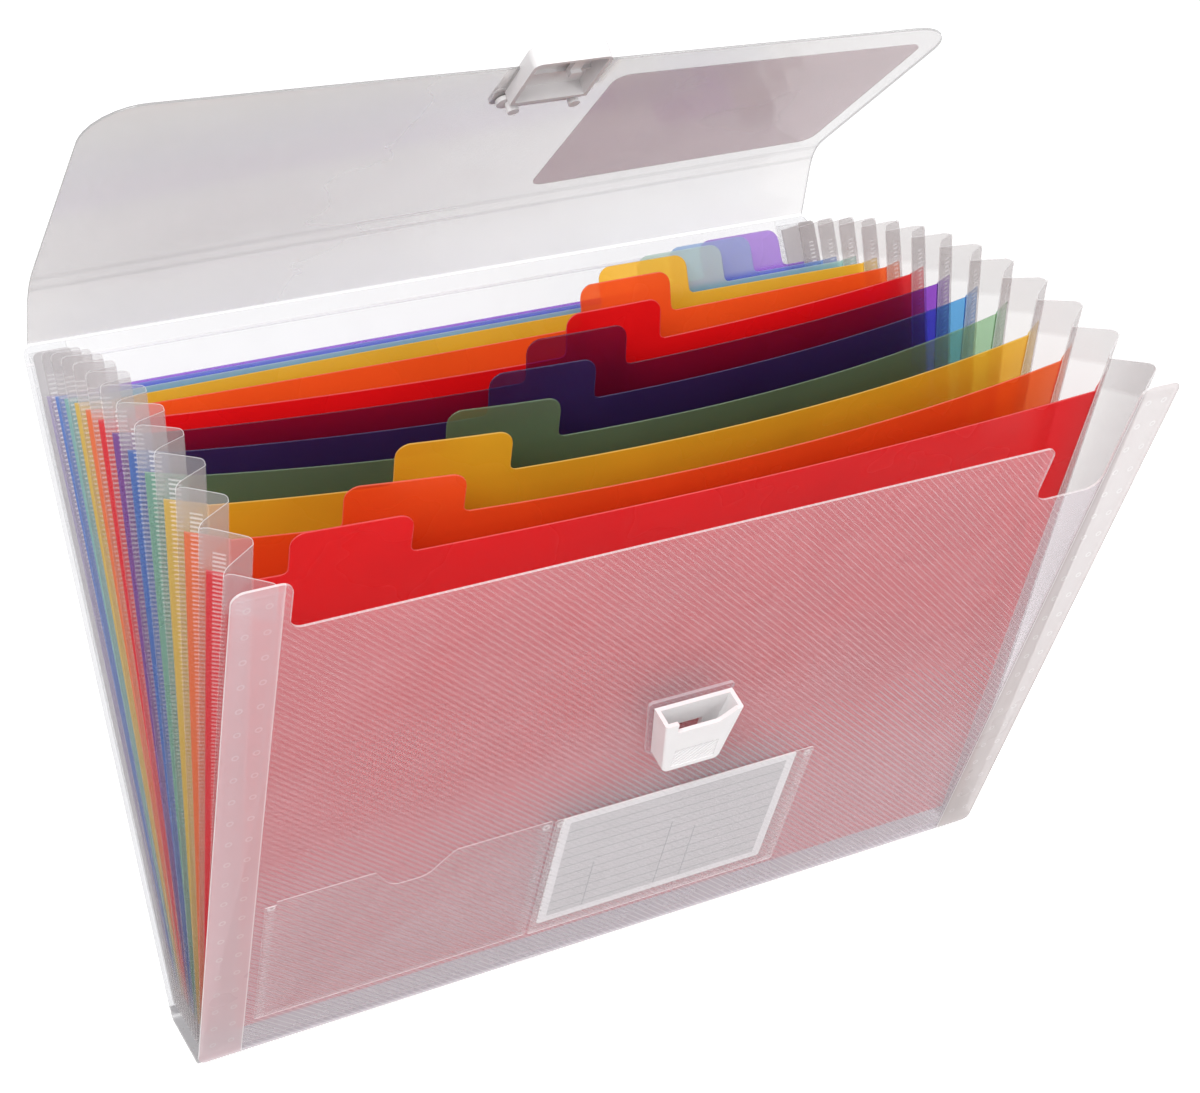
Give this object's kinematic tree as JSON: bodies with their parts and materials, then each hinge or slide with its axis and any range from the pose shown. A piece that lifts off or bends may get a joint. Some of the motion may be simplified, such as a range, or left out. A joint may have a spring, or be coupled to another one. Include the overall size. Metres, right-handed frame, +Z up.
{
  "type": "accordion file folder",
  "caption": "Expanding file of clear plastic, fanned open: coloured tabbed dividers, pleated ends, folding flap with clip, catch and label pocket.",
  "frame": {"origin": "middle of the base strip's underside, on the surface the file stands on", "axes": "+X along the file to the right seen from the front, +Y to the back cover, +Z up"},
  "size_m": [0.33, 0.2317, 0.333],
  "materials": {
    "casing": "clear frosted sheet with fine slanting lines",
    "gusset": "thin clear pleated film",
    "film": "clear glossy film",
    "white": "moulded white plastic, satin",
    "card": "printed grid on white card",
    "flap_label": "plain grey label",
    "red": "translucent red sheet",
    "orange": "translucent orange sheet",
    "yellow": "translucent yellow sheet",
    "green": "translucent green sheet",
    "blue": "translucent blue sheet",
    "violet": "translucent violet sheet"
  },
  "bodies": {
    "base": {"base_strip": "casing", "left_gusset": "gusset", "right_gusset": "gusset"},
    "front_cover": {"front_panel": "casing", "front_weld_flanges": "gusset", "catch_body": "white", "catch_backplate": "film", "front_pocket_film": "film", "label_film": "film"},
    "label_card": {"label_card": "card"},
    "back_cover": {"back_panel": "casing", "back_weld_flanges": "gusset"},
    "flap_spine": {"flap_spine": "casing"},
    "flap": {"flap_panel": "casing", "flap_label": "flap_label", "clip_body": "white", "clip_retainer": "white"},
    "clip_finger": {"clip_finger": "white"},
    "divider_01_red": {"divider_01_red": "red"},
    "divider_02_orange": {"divider_02_orange": "orange"},
    "divider_03_yellow": {"divider_03_yellow": "yellow"},
    "divider_04_green": {"divider_04_green": "green"},
    "divider_05_blue": {"divider_05_blue": "blue"},
    "divider_06_violet": {"divider_06_violet": "violet"},
    "divider_07_red": {"divider_07_red": "red"},
    "divider_08_orange": {"divider_08_orange": "orange"},
    "divider_09_yellow": {"divider_09_yellow": "yellow"},
    "divider_10_green": {"divider_10_green": "green"},
    "divider_11_blue": {"divider_11_blue": "blue"},
    "divider_12_violet": {"divider_12_violet": "violet"}
  },
  "joints": [
    {"name": "accordion", "type": "hinge", "parent": "base", "child": "back_cover", "pos_m": [0, 0.0155, 0.0004], "axis": [1, 0, 0], "range_deg": [0, 24], "deforming": ["left_gusset", "right_gusset"]},
    {"name": "front_fold", "type": "hinge", "parent": "base", "child": "front_cover", "pos_m": [0, -0.0155, 0.0004], "axis": [-1, 0, 0], "range_deg": [0, 24]},
    {"name": "divider_01_fold", "type": "hinge", "parent": "base", "child": "divider_01_red", "pos_m": [0, -0.01312, 0.0004], "axis": [-1, 0, 0], "range_deg": [0, 19.64]},
    {"name": "divider_02_fold", "type": "hinge", "parent": "base", "child": "divider_02_orange", "pos_m": [0, -0.01073, 0.0004], "axis": [-1, 0, 0], "range_deg": [0, 15.31]},
    {"name": "divider_03_fold", "type": "hinge", "parent": "base", "child": "divider_03_yellow", "pos_m": [0, -0.00835, 0.0004], "axis": [-1, 0, 0], "range_deg": [0, 11.07]},
    {"name": "divider_04_fold", "type": "hinge", "parent": "base", "child": "divider_04_green", "pos_m": [0, -0.00596, 0.0004], "axis": [-1, 0, 0], "range_deg": [0, 6.93]},
    {"name": "divider_05_fold", "type": "hinge", "parent": "base", "child": "divider_05_blue", "pos_m": [0, -0.00358, 0.0004], "axis": [-1, 0, 0], "range_deg": [0, 2.92]},
    {"name": "divider_06_fold", "type": "hinge", "parent": "base", "child": "divider_06_violet", "pos_m": [0, -0.00119, 0.0004], "axis": [1, 0, 0], "range_deg": [0, 0.934]},
    {"name": "divider_07_fold", "type": "hinge", "parent": "base", "child": "divider_07_red", "pos_m": [0, 0.00119, 0.0004], "axis": [1, 0, 0], "range_deg": [0, 4.63]},
    {"name": "divider_08_fold", "type": "hinge", "parent": "base", "child": "divider_08_orange", "pos_m": [0, 0.00358, 0.0004], "axis": [1, 0, 0], "range_deg": [0, 8.16]},
    {"name": "divider_09_fold", "type": "hinge", "parent": "base", "child": "divider_09_yellow", "pos_m": [0, 0.00596, 0.0004], "axis": [1, 0, 0], "range_deg": [0, 11.54]},
    {"name": "divider_10_fold", "type": "hinge", "parent": "base", "child": "divider_10_green", "pos_m": [0, 0.00835, 0.0004], "axis": [1, 0, 0], "range_deg": [0, 14.78]},
    {"name": "divider_11_fold", "type": "hinge", "parent": "base", "child": "divider_11_blue", "pos_m": [0, 0.01073, 0.0004], "axis": [1, 0, 0], "range_deg": [0, 17.92]},
    {"name": "divider_12_fold", "type": "hinge", "parent": "base", "child": "divider_12_violet", "pos_m": [0, 0.01312, 0.0004], "axis": [1, 0, 0], "range_deg": [0, 20.98]},
    {"name": "spine_fold", "type": "hinge", "parent": "back_cover", "child": "flap_spine", "pos_m": [0, 0.11596, 0.22605], "axis": [1, 0, 0], "range_deg": [-110, 4]},
    {"name": "flap_fold", "type": "hinge", "parent": "flap_spine", "child": "flap", "pos_m": [0, 0.1046, 0.25489], "axis": [1, 0, 0], "range_deg": [-90, 28]},
    {"name": "card_slide", "type": "slide", "parent": "front_cover", "child": "label_card", "axis": [0, -0.4067, 0.9135], "range_m": [0, 0.02]},
    {"name": "finger_flex", "type": "hinge", "parent": "flap", "child": "clip_finger", "pos_m": [0.007, 0.00641, 0.32932], "axis": [1, 0, 0], "range_deg": [0, 4.5], "stiffness_Nm_per_rad": 0.003}
  ],
  "couplings": [
    {"joint": "front_fold", "follows": "accordion", "ratio": 1},
    {"joint": "divider_01_fold", "follows": "accordion", "ratio": 0.81823},
    {"joint": "divider_02_fold", "follows": "accordion", "ratio": 0.63809},
    {"joint": "divider_03_fold", "follows": "accordion", "ratio": 0.4611},
    {"joint": "divider_04_fold", "follows": "accordion", "ratio": 0.2886},
    {"joint": "divider_05_fold", "follows": "accordion", "ratio": 0.12168},
    {"joint": "divider_06_fold", "follows": "accordion", "ratio": 0.038893},
    {"joint": "divider_07_fold", "follows": "accordion", "ratio": 0.19274},
    {"joint": "divider_08_fold", "follows": "accordion", "ratio": 0.33985},
    {"joint": "divider_09_fold", "follows": "accordion", "ratio": 0.48063},
    {"joint": "divider_10_fold", "follows": "accordion", "ratio": 0.61583},
    {"joint": "divider_11_fold", "follows": "accordion", "ratio": 0.74652},
    {"joint": "divider_12_fold", "follows": "accordion", "ratio": 0.87407}
  ]
}
